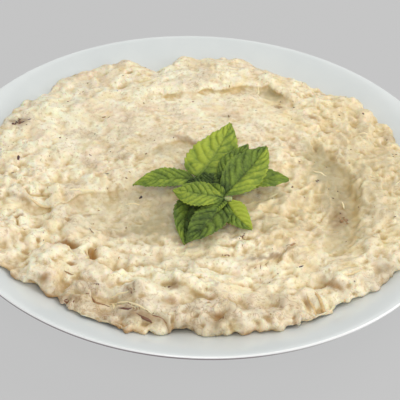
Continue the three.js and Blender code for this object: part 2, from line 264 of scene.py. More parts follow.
solid_heap = bmesh.new()
solid_heap.from_mesh(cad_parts["baba_ganoush"].data)
bmesh.ops.remove_doubles(solid_heap, verts=solid_heap.verts[:], dist=1e-6)
heap_tree = BVHTree.FromBMesh(solid_heap)
heap_edge = np.zeros(RIM_SAMPLES)
for vertex in solid_heap.verts:
    place = round(math.atan2(vertex.co.y, vertex.co.x) / math.tau * RIM_SAMPLES) % RIM_SAMPLES
    heap_edge[place] = max(heap_edge[place], math.hypot(vertex.co.x, vertex.co.y))
solid_heap.free()


def below(tree, x, y):
    """The point of a surface straight below a place in plan, and the way it faces."""
    spot, normal, *_ = tree.ray_cast(Vector((x, y, ABOVE_ALL)), DOWN)
    return spot, normal


def wall_height(radius):
    return np.interp(radius, [p.x for p in inner_wall], [p.z for p in inner_wall])


def random_at(cells, seed):
    """A repeatable random number from 0 to 1 for each whole-number cell."""
    x, y, z = (cells[:, axis].astype(np.int64) for axis in range(3))
    mixed = (x * 73856093) ^ (y * 19349663) ^ (z * 83492791) ^ (seed * 2654435761)
    mixed = ((mixed ^ (mixed >> 13)) * 1274126177) & 0xFFFFFFFF
    mixed = ((mixed ^ (mixed >> 15)) * 2246822519) & 0xFFFFFFFF
    return ((mixed ^ (mixed >> 16)) & 0xFFFFFF) / 0xFFFFFF


def swell(points, size, seed):
    """Soft random hills, about size across, from -1 to 1."""
    spot = points / size
    cell = np.floor(spot)
    part = spot - cell
    ease = part ** 3 * (part * (part * 6 - 15) + 10)
    total = np.zeros(len(points))
    for corner in itertools.product((0, 1), repeat=3):
        weight = np.prod(np.where(corner, ease, 1 - ease), axis=1)
        away = part - corner
        slope = [2 * random_at(cell + corner, 3 * seed + axis) - 1 for axis in range(3)]
        total += weight * sum(away[:, axis] * slope[axis] for axis in range(3))
    return 1.6 * total


def drift(points, size, seeds, reach):
    """Soft random shifts, one axis for each seed; size and reach in mm."""
    return np.column_stack([swell(points, size * MM, seed) for seed in seeds]) * reach * MM


def lumps(points, size, seed, steepness):
    """Rounded lumps of many sizes, heaped against each other: 0 between them, up to 1 on top."""
    spot = points / size
    cell = np.floor(spot)
    total = np.zeros(len(points))
    for step in itertools.product((-1, 0, 1), repeat=3):
        there = cell + step
        middle = [there[:, axis] + random_at(there, 5 * seed + axis) for axis in range(3)]
        away = sum((spot[:, axis] - middle[axis]) ** 2 for axis in range(3))
        bulk = 0.35 + 0.65 * random_at(there, 5 * seed + 3)
        total = np.maximum(total, bulk * unit(1 - away / (0.9 * bulk)) ** steepness)
    return total


def fade(value, low, high):
    """A soft step from 0 at low to 1 at high."""
    part = unit((value - low) / (high - low))
    return part * part * (3 - 2 * part)


def turned(x, y, way):
    """How far a place lies along a direction, in radians, and across it."""
    return x * np.cos(way) + y * np.sin(way), y * np.cos(way) - x * np.sin(way)


def strands(points, patch, wide, long, seed):
    """Patches of parallel fibres, each patch with a direction of its own."""
    spot = points[:, :2] / patch
    cell = np.floor(spot)
    total = np.zeros(len(points))
    for step in itertools.product((-1, 0, 1), repeat=2):
        there = np.column_stack([cell + step, np.zeros(len(points))])
        middle = there[:, :2]
        middle = middle + np.column_stack([random_at(there, 7 * seed + axis) for axis in (0, 1)])
        away = np.hypot(*(spot - middle).T)
        turn = math.pi * random_at(there, 7 * seed + 2)
        along, across = turned(points[:, 0], points[:, 1], turn)
        line = np.column_stack([along / long, across / wide, 9.7 * random_at(there, 7 * seed + 3)])
        ridge = 1 - np.abs(swell(line, 1.0, seed)) * 2.2
        total += unit(1 - away / 0.8) * ridge
    return total


# Places that stayed rough inside the spooned ring: (x, y, long, wide, turn in degrees, how much
# rougher), in mm.
ROUGH_PATCHES = [(37, -26, 50, 38, -12, 0.75)]

# Places that the spoon left smooth, in the same terms, but how much calmer.
SMOOTH_PATCHES = [
    (-37, -27, 46, 34, 15, 0.5), (-10, 20, 26, 16, 10, 0.8), (68, -34, 40, 14, 75, 0.6),
    (20, 50, 90, 50, 10, 0.7), (58, -68, 50, 30, 0, 0.3), (-50, 30, 60, 50, 0, 0.35),
]

# Folds and crests left by the spoon: raised on the left of each line, sunk on its right, where it is
# often painted wet and darker as shade. Each is (points, step, width of the step, reach to each side,
# overhang, wet shade), in mm.
SPOON_LINES = [
    ([(-37, 61), (-24, 67), (-11, 69), (0, 73), (12, 75), (24, 77), (34, 77), (42, 72), (48, 63),
      (51, 53)], 1.7, 0.7, 5, 1.0, 0.1),
    ([(-97, -22), (-86, -24), (-77, -28), (-68, -30), (-63, -27), (-58, -20), (-52, -16), (-46, -15),
      (-37, -12), (-28, -12)], 2.2, 0.9, 6, 1.1, 0.25),
    ([(57, 34), (67, 20), (73, 5), (76, -13), (76, -30), (72, -46), (63, -60)], 2.5, 3.2, 12, 0.2, 0.8),
    ([(-27, 15), (-19, 24), (-10, 27), (0, 25), (6, 20)], 1.5, 1.0, 5, 0.6, 0.6),
    ([(20, -65), (28, -62), (34, -58.5), (39, -54), (45, -50)], 2.2, 0.8, 5, 1.0, 0.15),
    ([(-3, -75), (-18, -69), (-34, -69), (-50, -73)], 1.8, 1.5, 6, 0.4, 0.3),
    ([(-10, -106), (-14, -103), (-22, -99), (-28, -95), (-37, -91)], 2.2, 0.7, 3.5, 1.1, 0.9),
    ([(-46, -89), (-55, -91), (-64, -88)], 1.4, 0.7, 3, 0.8, 0.6),
    ([(-60, -66), (-57, -62), (-62, -56), (-68, -56)], 1.4, 0.7, 3, 0.7, 0.4),
    ([(64, -72), (56, -76), (48, -80)], 1.8, 1.0, 5, 0.7, 0.4),
    ([(60, -88), (56, -84), (50, -80), (46, -79)], 1.6, 0.8, 4, 0.8, 0.5),
    ([(-20, -79), (-10, -79), (0, -84), (6, -88)], 2.0, 0.9, 5, 0.8, 0.5),
]

# Pits and deep creases between the lumps: (x, y, long, wide, turn in degrees, depth), in mm.
PITS = [
    (-60, -55, 13, 6, -8, 3.2), (-46.5, -60.5, 4.6, 9, 8, 2.8), (-55, -71, 4, 3, 0, 1.4),
    (-39, -69, 6, 3.2, 20, 1.4), (-66, -81, 4, 3, 0, 1.4), (-40, 83, 4, 3, 0, 1.2),
    (-44, 73, 4.5, 3, 30, 1.2), (57, 52, 4, 3, 0, 1.2), (63, 39, 3.5, 3, 0, 1.4),
    (11, -99, 6, 3, 0, 1.4), (31, -99, 4, 3, 0, 1.2), (51, -89, 3, 6, 20, 1.0),
    (61, -76, 11, 3.5, -25, 1.4), (-31, -70, 10, 3, 25, 1.2), (-10, -90, 7, 3, 10, 1.2),
    (38, 72, 13, 7, -25, 0.5), (-83, -39, 5, 3, 30, 1.6), (-75, -44, 4, 3.4, 0, 1.6),
    (-72, -54, 2.4, 4, 10, 1.4), (-61, -37, 3, 2.4, 0, 1.2), (22, -47, 4, 3, 0, 0.8),
    (5, -66, 9, 3, -15, 1.0), (-8, -104, 3, 4, 0, 1.4), (-2, 18, 10, 4, 10, 0.8),
    (8, -88, 8, 2.6, 30, 1.2), (-60, -98, 10, 3, -30, 1.2), (44, -97, 3, 6, 0, 1.2),
]

# Greyish wet places, some of them painted darker as shade in the spooned hollows and under the leaves,
# then brown stains, some of them painted shadow along creases: (x, y, long, wide, turn in degrees,
# strength), in mm.
WET_AND_SHADE_PATCHES = [
    (38, 70, 24, 9, -30, 0.4), (33, -37, 22, 16, 0, 0.55), (62, 7, 42, 17, -65, 1.2),
    (75, -24, 46, 8, -86, 0.7), (-33, -29, 56, 36, 8, 0.62), (-20, -40, 22, 24, 0, 0.9),
    (-8, -64, 36, 14, -5, 0.35), (36, 72, 14, 8, -25, 0.8), (5, -32, 46, 34, 0, 0.35),
    (-60, -96, 40, 8, -25, 0.4), (0, -104, 60, 5, 0, 0.4), (86, 0, 44, 120, 0, 0.55),
    (54, -20, 34, 50, 0, 0.3), (-38, 26, 50, 40, 0, 0.2), (-14, 17, 28, 12, 5, 0.5),
]
BROWN_PATCHES = [
    (66, -22, 32, 6, 74, 0.4), (67, -28, 15, 8, 65, 0.6), (40, 61, 5, 4, 0, 0.9),
    (-2, 25, 8, 3, 10, 0.7), (-7, 27, 18, 3.5, -20, 0.8), (-93, 33, 9, 6, 10, 0.9),
    (-27, -87, 9, 7, 0, 0.6), (14, 50, 14, 7, 0, 0.35), (-52, -31, 8, 2, 20, 0.5),
    (-49, -44, 7, 2, -20, 0.6), (61, -76, 14, 5, -25, 0.6), (-18, -102.5, 22, 4, -14, 0.8),
    # Some marks, such as those at (38.5, -55), (30, -59) and (61, -76) along creases, are painted
    # shadow.
    (-57, -91, 18, 2.5, -10, 0.5), (38.5, -55, 12, 2.6, 38, 1.3), (30, -59, 14, 2.2, 12, 0.8),
    (-66, -81, 5, 3.5, 0, 0.7), (-3, -102, 10, 4, 0, 0.4), (11, -101, 9, 5, 0, 0.6),
    (-28, -97, 10, 3, -15, 0.7), (-10, -83, 5, 4, 0, 0.7), (50, -86, 8, 3, -35, 0.8),
    (57, 52, 6, 4, 0, 0.6), (63, 39, 5, 4, 0, 0.6), (91, 60, 9, 6, -40, 0.7), (96, 40, 10, 5, -60, 0.5),
    (-45, -84, 9, 5, 0, 0.4), (-37, -98, 44, 9, -20, 0.2), (-10, -81, 5, 4, 0, 0.6),
    (34, -73, 6, 3, 0, 0.5), (-83, -26, 12, 4, -5, 0.5), (84, -66, 16, 5, 35, 0.4),
    (98, -20, 12, 5, 80, 0.4),
]

# Yellower regions, in the same terms.
GOLD_PATCHES = [
    (0, -54, 24, 14, 0, 0.6), (24, -20, 20, 12, 0, 0.7), (36, -86, 50, 24, 0, 0.5),
    (-15, -42, 22, 16, 0, 0.5), (-50, -47, 18, 14, 0, 0.5), (84, 20, 60, 130, 0, 0.8),
    (44, -20, 50, 70, 0, 0.8), (40, 60, 70, 40, -20, 0.4),
]

# Mauve-grey regions, where ground skin was worked in.
GREY_PATCHES = [
    (-45, -92, 70, 20, -15, 1.1), (-5, -100, 60, 10, 0, 0.3), (5, -93, 34, 16, 0, 0.9),
    (34, -92, 44, 18, 0, 1.1), (84, -66, 30, 12, 35, 0.6),
]

# Paler places, in the same terms: some with more tahini, some painted lighter as painted light over
# shade, as beside the leaves and on the left crest.
CREAM_PATCHES = [
    (-72, 30, 50, 60, 0, 1.2), (-10, 66, 120, 56, 0, 0.6), (-5, -80, 80, 30, 0, 0.6),
    (-70, -20, 56, 10, -8, 0.5), (21, -97, 8, 10, 0, 0.8), (53, -83, 14, 10, 0, 0.6),
    (27, -20, 18, 12, 0, 1.2), (1, -53, 22, 12, 0, 1.0), (-9, -98, 20, 8, 0, 1.0),
    (-80, -36, 48, 32, 0, 1.1), (-15, 60, 56, 16, 5, 0.5), (-35, -88, 20, 10, 0, 0.3),
]

# Lumps that stand out of the heap: (x, y, long, wide, turn in degrees, height), in mm.
LUMPS = [
    (-2, -82, 11, 7, 15, 2.0), (22, -100, 9, 7, 0, 2.6), (-51, -84, 7, 5, 0, 1.3),
    (-44, -82, 5, 4, 0, 1.1), (14, 48, 6, 4, 0, 1.0), (56, -86, 9, 3, -35, 0.9),
    (-64, -31, 11, 7, 10, 1.4), (-83, -38, 9, 8, 0, 1.6), (-70, -62, 9, 7, 0, 1.4),
    (9, -54, 8, 5, 0, 1.4), (80, 66, 8, 6, 30, 1.4), (84, 55, 7, 6, 0, 1.2),
    (33, 81, 12, 6, -35, 1.4), (-43, 92, 10, 6, 20, 1.2), (14, -71, 8, 6, 0, 1.0),
    (-92, -55, 10, 8, 0, 1.5), (40, -88, 8, 6, 0, 1.4), (-25, -84, 9, 6, 0, 1.2),
]

# Places where the spoon combed the mash into parallel streaks: (x, y, long, wide, turn in
# degrees, depth), in mm.
STREAK_LONG = 13
STREAK_WIDE = 2.0
COMBED_PATCHES = [
    (-44, -92, 64, 20, -20, 0.55), (-30, -78, 36, 14, 14, 0.45), (2, -81, 24, 16, -38, 0.7),
    (-80, -66, 34, 16, -28, 0.45), (62, -70, 30, 14, 30, 0.45), (20, 62, 60, 18, 4, 0.3),
    (-30, 80, 50, 12, 12, 0.35), (78, 40, 40, 16, -45, 0.35),
]


def line_distance(points, line):
    """Signed distance in plan to a line of points, its share along, and the way across it."""
    best = np.full(len(points), 9.0)
    side = np.zeros(len(points))
    share = np.zeros(len(points))
    normal = np.zeros((len(points), 2))
    stops = np.array(line) * MM
    for index, (start, stop) in enumerate(zip(stops, stops[1:])):
        run = stop - start
        part = unit(((points[:, :2] - start) @ run) / (run @ run))
        gap = points[:, :2] - start - part[:, None] * run
        away = np.hypot(*gap.T)
        left = np.array([-run[1], run[0]]) / np.hypot(*run)
        nearer = away < best
        best = np.where(nearer, away, best)
        side = np.where(nearer, np.sign(gap @ left), side)
        share = np.where(nearer, (index + part) / (len(stops) - 1), share)
        normal[nearer] = left
    return best * side, share, normal


def extruded(bm, ring_edges):
    """Extrudes a ring of edges in place, and gives the new edges and vertices."""
    made = bmesh.ops.extrude_edge_only(bm, edges=ring_edges)["geom"]
    return ([item for item in made if isinstance(item, bmesh.types.BMEdge)],
            [item for item in made if isinstance(item, bmesh.types.BMVert)])


bm = bmesh.new()
under_layer = bm.verts.layers.float.new("under")
bmesh.ops.create_grid(bm, x_segments=GRID_STEPS, y_segments=GRID_STEPS, size=1.0)
rim_edges = [edge for edge in bm.edges if edge.is_boundary]
for share in UNDERSIDE_RINGS:
    rim_edges, lower = extruded(bm, rim_edges)
    for vertex in lower:
        vertex[under_layer] = share
bmesh.ops.contextual_create(bm, geom=rim_edges)
heap_mesh = mesh_from(bm, "baba_ganoush_heap")

flat = read(heap_mesh.vertices, "co")[:, :2]
share_under = read(heap_mesh.attributes["under"].data, "value", 1)[:, 0]
under = share_under > 0
cells = np.round((flat + 1) / 2 * GRID_STEPS).astype(int)
top = np.flatnonzero(~under)
top = top[np.lexsort((cells[top, 0], cells[top, 1]))]
shape = (GRID_STEPS + 1, GRID_STEPS + 1)


def spread(values, reach):
    """The same values, each averaged with its neighbours on the grid."""
    field = values[top].reshape(shape)
    weights = np.hanning(2 * reach + 3)[1:-1]
    weights /= weights.sum()
    for _ in range(2):
        field = np.pad(field, ((reach, reach), (0, 0)), mode="edge")
        field = sum(w * field[k:k + shape[0]] for k, w in enumerate(weights)).T
    result = values.copy()
    result[top] = field.ravel()
    return result


# The square grid becomes a round one, ring by ring, out to the edge of the heap.
wide_part = np.abs(flat[:, 0]) >= np.abs(flat[:, 1])
longer = np.where(wide_part, flat[:, 0], flat[:, 1])
shorter = np.where(wide_part, flat[:, 1], flat[:, 0])
lean = math.pi / 4 * shorter / np.where(longer == 0, 1, longer)
slant = np.where(wide_part, lean, math.pi / 2 - lean)
angle = np.arctan2(longer * np.sin(slant), longer * np.cos(slant))
ring = np.abs(longer) * GRID_STEPS / 2
last_flat = GRID_STEPS / 2 - EDGE_ROWS
circle = EDGE_CIRCLE * np.column_stack([np.cos(angle), np.sin(angle), 0 * angle])
wave = swell(circle, 8 * MM, 41) + 0.5 * swell(circle, 3.5 * MM, 48) - 0.6
sample_angles = np.arange(RIM_SAMPLES) / RIM_SAMPLES * math.tau
edge = np.interp(angle, sample_angles, heap_edge, period=math.tau) + EDGE_WAVE * wave
drop = unit((ring - last_flat) / EDGE_ROWS) * math.pi / 2
radius = np.where(ring <= last_flat, (edge - EDGE_ROUNDING) * ring / last_flat,
                  edge - EDGE_ROUNDING * (1 - np.sin(drop)))
inside = np.minimum(radius, edge - EDGE_ROUNDING)
height = np.zeros(len(flat))
for index, (reach, way) in enumerate(zip(inside, angle)):
    height[index] = below(heap_tree, reach * math.cos(way), reach * math.sin(way))[0].z
height = spread(spread(height, SOLID_BLUR), SOLID_BLUR)
belly = wall_height(edge) + BELLY_HEIGHT
height = belly + (height - belly) * np.cos(drop)
radius = np.where(under, edge * share_under, radius)
height = np.where(under, wall_height(radius) + UNDERSIDE_GAP, height)
heap = np.column_stack([radius * np.cos(angle), radius * np.sin(angle), height])


def put(mesh, points):
    mesh.vertices.foreach_set("co", points.ravel())
    mesh.update()


def raise_by(points, amount):
    """Moves every point of the heap's top along its own normal."""
    put(heap_mesh, points)
    normals = read(heap_mesh.vertex_normals, "vector")
    return points + normals * np.where(under, 0, amount)[:, None]


def patches(points, marks):
    """Soft oval marks, each from 0 at its edge to its own height or depth at its middle."""
    total = np.zeros(len(points))
    for x, y, long, wide, turn, height in marks:
        along, across = turned(points[:, 0] / MM - x, points[:, 1] / MM - y, math.radians(turn))
        away = (along / (long / 2)) ** 2 + (across / (wide / 2)) ** 2
        total += height * np.exp(-away ** 1.3)
    return total


put(heap_mesh, heap)

# How rough each part is: chunky at the left and along the front, calmer behind and where the
# spoon went. Here x and y are in mm.
x, y = heap[:, 0] / MM, heap[:, 1] / MM
at_left = fade(-x, 30, 70) * (1 - fade(y, 0, 30)) + 0.5 * fade(-x, 30, 70)
at_front = fade(-y, 40, 75)
at_right = fade(x, 10, 60)
chunky = np.maximum(np.maximum(at_left, at_front), 0.4 * fade(x, 40, 60))
chunky = spread(unit(chunky), 8)
chunky = (chunky + patches(heap, ROUGH_PATCHES)) * (1 + 0.5 * swell(heap, 18 * MM, 30))
far_left = fade(-x, 30, 70) * fade(y, -5, 25)
gentle = (1 - 0.5 * far_left - 0.38 * at_front * at_right - 0.12 * at_left - 0.08 * at_front
          - 0.2 * fade(y, 35, 60))

# Folds and crests, with an uneven course.
bent = heap.copy()
bent[:, :2] += drift(heap, 8, (1, 2), 1.7)
uneven = np.clip(0.8 + 0.7 * swell(heap, 11 * MM, 3), 0, 1.4)
shift = np.zeros_like(heap)
relief = np.zeros(len(heap))
wet_and_shade = np.zeros(len(heap))
crease_shade = np.zeros(len(heap))
for line, step, width, reach, overhang, wet_shade in SPOON_LINES:
    away, share, normal = line_distance(bent, line)
    away = away / MM
    ends = unit(np.sin(np.pi * share) * 2.0) * uneven
    relief += step / 2 * ends * np.tanh(away / width) * np.exp(-(away / reach) ** 2) * MM
    lean_out = overhang * ends * np.exp(-((away - 0.7 * width) / (1.5 * width)) ** 2) * MM
    shift[:, :2] -= normal * lean_out[:, None]
    # Painted shade in a thin band just below each fold's step, on its sunk side under the overhang.
    crease_shade = np.maximum(crease_shade, ends * np.exp(-((away + 0.4 * width) / (0.8 * width)) ** 2))
    sunk_side = fade(-away, -0.5, width) * (1 - fade(-away, reach * 0.6, reach * 1.5))
    wet_and_shade = np.maximum(wet_and_shade, wet_shade * sunk_side * unit(np.sin(np.pi * share) * 2.5))
calm = 1 - np.clip(patches(bent, SMOOTH_PATCHES) + 0.4 * wet_and_shade, 0, 0.8)


def combed(points, marks, seed):
    """Streaks that run along each oval mark, -1 to 1 times its depth."""
    total = np.zeros(len(points))
    for mark in marks:
        along, across = turned(points[:, 0], points[:, 1], math.radians(mark[4]))
        line = np.column_stack([along / STREAK_LONG, across / STREAK_WIDE, 0 * along + mark[0] * MM])
        total += patches(points, [mark]) * swell(line, 1 * MM, seed)
    return total


# Swells, big lumps and folded ridges, then middling lumps, which are drawn out round the bowl
# away from its middle, then the lumps and pits that have places of their own.
warp = drift(heap, 6, (4, 5, 6), 3.0)
rough = (0.55 + 0.5 * chunky + 0.3 * fade(drop, 0, 1)) * (1 + 0.5 * swell(heap, 12 * MM, 31))
relief += swell(heap, BROAD_SWELL, 8) * (0.3 + 1.3 * chunky) * MM
relief += swell(heap, MAIN_SWELL, 9) * (0.35 + 1.2 * chunky + 0.6 * far_left) * MM * calm
big = lumps(heap + warp, BIG_LUMP, HEAP_SEED, 1.6)
relief += (big - 0.4) * (0.2 + 1.3 * chunky) * calm * 2.3 * MM
ridged = 0.4 - np.abs(swell(heap + 1.8 * warp, RIDGE, 32)) ** 0.8
relief += ridged * (0.2 + 1.0 * chunky) * calm * 0.7 * MM
soft = swell(heap + 1.3 * warp, SOFT_FOLD, 42)
relief += soft * (0.6 + 0.5 * chunky + 0.3 * at_right) * calm * 1.6 * MM
middling = 0.65 * (lumps(heap + warp * 0.8, MIDDLING_LUMP, HEAP_SEED + 1, 1.6) - 0.4)
middling += 1.1 * (np.abs(swell(heap + 1.3 * warp, 7 * MM, 50)) ** 0.8 - 0.33)
around = fade(inside, 25 * MM, 50 * MM)
drawn = np.column_stack([angle * 75 * MM, inside * 2.2, heap[:, 2]]) + warp
middling += 0.75 * ((1 - around) * swell(heap + warp, 3.8 * MM, 40)
                    + around * swell(drawn, 5.5 * MM, 45))
middling *= 0.5 + 0.9 * fade(swell(heap, 16 * MM, 44), -0.4, 0.4)
relief += gentle * middling * (0.2 + 0.8 * rough + 0.4 * at_right) * (0.3 + 0.7 * calm) * MM
relief += (1.3 * patches(bent, LUMPS) - 1.3 * patches(bent + warp * 0.5, PITS)) * MM
turned_down = fade(drop, 0.3, 1.2)
front_face = at_front * fade(inside, 82 * MM, 98 * MM)
relief += (lumps(heap + warp, FRONT_LUMP, HEAP_SEED + 4, 1.6) - 0.42) * 1.7 * front_face * MM
relief = np.maximum(relief + 0.4 * MM * turned_down, (1.8 * turned_down - 3.5) * MM)
heap = raise_by(heap + shift * (~under)[:, None], relief)

# Small lumps and folds, smears round the bowl, combed streaks and fibres, and tiny grains.
warp = drift(heap, 2.5, (24, 25, 26), 1.4)
small = lumps(heap + warp, SMALL_LUMP, HEAP_SEED + 2, 1.5)
folded = np.abs(swell(heap + warp, 4.2 * MM, 33)) ** 0.8
grain = 0.56 + 0.14 * chunky + 0.48 * at_right
fine = (small - 0.4) * 0.28 + (folded - 0.35) * 0.52 + 0.3 * swell(heap, 2.2 * MM, 43)
fine = fine * grain * MM
round_bowl = np.column_stack([angle * 65 * MM + warp[:, 0], (inside + warp[:, 1]) * 3.2,
                              heap[:, 2]])
smear = swell(round_bowl, 7 * MM, 34)
fine += smear * 0.45 * MM * around * (1 - 0.3 * unit(chunky))
fibre_mask = fade(swell(heap, 13 * MM, 14), -0.1, 0.35)
fine += (strands(heap, 12 * MM, 1.0 * MM, 6 * MM, 15) - 0.5) * fibre_mask * 0.2 * MM
shred_mask = fade(swell(heap, 17 * MM, 46), -0.15, 0.3) * (0.4 + 0.6 * unit(chunky))
streaks = combed(heap + 0.4 * warp, COMBED_PATCHES, 49)
fine += streaks * MM
fine += (strands(heap + warp, 15 * MM, 1.9 * MM, 11 * MM, 16) - 0.5) * shred_mask * 0.4 * MM
fine *= gentle * (0.7 + 0.3 * calm)
heap = raise_by(heap, fine)
tiny = lumps(heap, TINY_LUMP, HEAP_SEED + 3, 1.3)
heap = raise_by(heap, (tiny - 0.4) * 0.18 * MM)
wall = wall_height(np.hypot(heap[:, 0], heap[:, 1]))
heap[:, 2] = np.where(under, heap[:, 2], np.maximum(heap[:, 2], wall + WALL_GAP))
put(heap_mesh, heap)

# Masks for the paint: how high a point lies among its neighbours, near and far, which paints
# light on rises and shade in hollows; where the mash is wet or stained, or painted darker as shade;
# and how it was smeared.
level = heap[:, 2]
bumps = relief + fine
near_rise = (bumps - spread(bumps, 3)) / (0.40 * MM)
rise_on_top = (level - spread(level, 8)) / (1.1 * MM)
rise_on_side = (bumps - spread(bumps, 8)) / (0.9 * MM)
far_rise = rise_on_top + (rise_on_side - rise_on_top) * fade(drop, 0, 0.7)
front_edge = at_front * fade(inside, 70 * MM, 95 * MM)
# Painted light and shade: the tone is lighter on rises and along raised streaks and darker in hollows,
# near and far, and lighter towards the front; the swells vary it further.
tone = (0.62 + 0.07 * unit(chunky) + 0.10 * at_front + 0.14 * near_rise
        + (0.24 + 0.1 * front_edge) * far_rise)
tone += (0.16 * swell(heap, 6 * MM, 35) + (0.10 + 0.16 * front_edge) * swell(heap, 15 * MM, 37)
         + 0.5 * streaks)
# The cream patches lighten the tone; part of that is painted light lifting shade beside the leaves.
tone = unit(tone + 0.16 * patches(bent, CREAM_PATCHES))
# Painted shade: darker where a point lies below its neighbours, in the hollows between the lumps.
hollow_shade = fade(spread(level, 9) - level, 0.1 * MM, 1.6 * MM)
# Brown in the pits, together with painted shade in deep crevices, where a point sinks below its wider
# surroundings.
pit_and_shade = np.maximum(fade(patches(bent, PITS), 0.4, 1.7),
                 0.45 * fade(-far_rise - 0.5 * near_rise, 1.0, 2.8))
# Painted contact shade where the heap meets the bowl wall, in uneven patches, most of it along the
# front.
contact_shade = fade(swell(heap, 9 * MM, 47), -0.35, 0.25) * (0.15 + 0.85 * at_front * (1 - at_right))
pit_and_shade = np.maximum(pit_and_shade, contact_shade * (1 - fade(level - wall, 0.8 * MM, 4.0 * MM)))
mottled = 1 + 0.7 * swell(heap, 4 * MM, 36)
# Wet greyish places, partly painted shade in the spooned hollows and beside the leaves.
wet_and_shade = np.clip(wet_and_shade + patches(bent + warp * 1.5, WET_AND_SHADE_PATCHES) * mottled, 0, 1.3)
gold = patches(bent, GOLD_PATCHES) + 0.8 * fade(swell(bent + warp, 9 * MM, 38), 0.05, 0.6)
grey = patches(bent + warp, GREY_PATCHES)
grey += 0.8 * fade(swell(bent + warp * 1.5, 11 * MM, 39), 0.1, 0.6)
# Brown stains, some of them painted shadow along the creases below folds.
stain_and_shade = patches(bent + warp * 0.7, BROWN_PATCHES) * (1.3 + 1.0 * swell(heap, 2.6 * MM, 51))

heap_masks = {
    "tone": tone, "hollow_shade": hollow_shade, "pit_and_shade": pit_and_shade, "wet_and_shade": wet_and_shade, "brown": unit(stain_and_shade),
    "crease_shade": crease_shade, "gold": unit(gold), "grey": np.clip(grey, 0, 1.4),
    "smear": 0.5 + 0.5 * np.clip(smear, -1, 1),
}
for name, values in heap_masks.items():
    keep_mask(heap_mesh, name, values)
heap_mesh.attributes.remove(heap_mesh.attributes["under"])

# Colours laid over the cream, for regions and then for marks: (mask, strength, colour).
REGION_COLOURS = [("gold", 0.5, (0.83, 0.64, 0.30)), ("grey", 0.45, (0.57, 0.47, 0.35))]
# Among these marks, the hollow and crease colours are painted shade; the pit and wet colours are partly
# painted shade.
MARK_COLOURS = [
    ("hollow_shade", 0.45, (0.58, 0.42, 0.18)), ("wet_and_shade", 0.62, (0.45, 0.38, 0.21)),
    ("crease_shade", 0.55, (0.62, 0.43, 0.16)), ("brown", 0.7, (0.27, 0.15, 0.05)),
    ("pit_and_shade", 0.85, (0.42, 0.22, 0.06)),
]
mash = Paint("aubergine_mash", IOR=1.42, Subsurface_Weight=0.55, Subsurface_Scale=1.5 * MM,
             Subsurface_Radius=(1.0, 0.65, 0.35), Coat_Weight=0.22, Coat_Roughness=0.16)
mottle = mash.noise(260, detail=4, roughness=0.6, distortion=0.5)
cream = mash.ramp(mash.scaled(mash.toned(mottle, 0.36), 0.70), (0.22, (0.44, 0.27, 0.09)),
                  (0.37, (0.68, 0.51, 0.25)), (0.51, (0.87, 0.73, 0.47)), (0.70, (1.0, 0.92, 0.69)))
specks = mash.noise(620, detail=2, roughness=0.6)
cream = mash.mix(mash.ramp(specks, (0.34, 0.55), (0.44, 0.0)), cream, (0.56, 0.38, 0.17))
# Painted highlights: small pale specks scattered over the cream.
cream = mash.mix(mash.ramp(specks, (0.56, 0.0), (0.68, 0.5)), cream, (1.0, 0.94, 0.76))
blush = mash.noise(75, detail=2, roughness=0.5, distortion=0.6)
cream = mash.mix(mash.ramp(blush, (0.50, 0.0), (0.68, 0.5)), cream, (0.78, 0.60, 0.42))
for name, strength, colour in REGION_COLOURS:
    cream = mash.mix(mash.scaled(mash.mask(name), strength), cream, colour)
shreds = mash.ramp(mash.noise(170, detail=3, roughness=0.6, distortion=1.4), (0.455, 0.0),
                   (0.49, 0.7), (0.525, 0.0))
shredded = mash.maths("MAXIMUM", mash.mask("grey"), 0.25)
cream = mash.mix(mash.scaled(shreds, shredded), cream, (0.40, 0.25, 0.12))
cream = mash.mix(mash.ramp(mash.mask("smear"), (0.5, 0.0), (0.8, 0.35)), cream, (0.97, 0.87, 0.60))
for name, strength, colour in MARK_COLOURS:
    cream = mash.mix(mash.scaled(mash.mask(name), strength), cream, colour)
mash.link(cream, "Base Color")
mash.rough(mash.noise(150, detail=3), (0.3, 0.28), (0.7, 0.52))
mash.bump(mash.noise(560, detail=4, roughness=0.6), 0.4, 0.3 * MM)
add_piece(heap_mesh, mash.material, "aubergine_dip", "baba_ganoush")

# ---- Flecks and strands
# Bits of charred skin, brown shreds and pale fibres of the aubergine, half sunk in the mash.
# Each fleck is a small flattened lump, each strand a thin tube laid along the heap.
FLECK_SEED = 5
FLECK_RISE = 0.16 * MM
STRAND_STEPS = 9
STRAND_SIDES = 5
# Loose flecks and fibres, spread over the heap, in mm.
LOOSE_FLECKS = 150
LOOSE_FIBRES = 24
FLECK_REACH = 104
FIBRE_REACH = 100
FLECK_LONG = (0.6, 1.8)
FLECK_WIDE = (0.4, 0.9)
FLECK_TONE = (0.2, 0.8)
FIBRE_HALF_LENGTH = (2, 5)
FIBRE_RADIUS = (0.3, 0.55)
FIBRE_TONE = (0.9, 1.05)
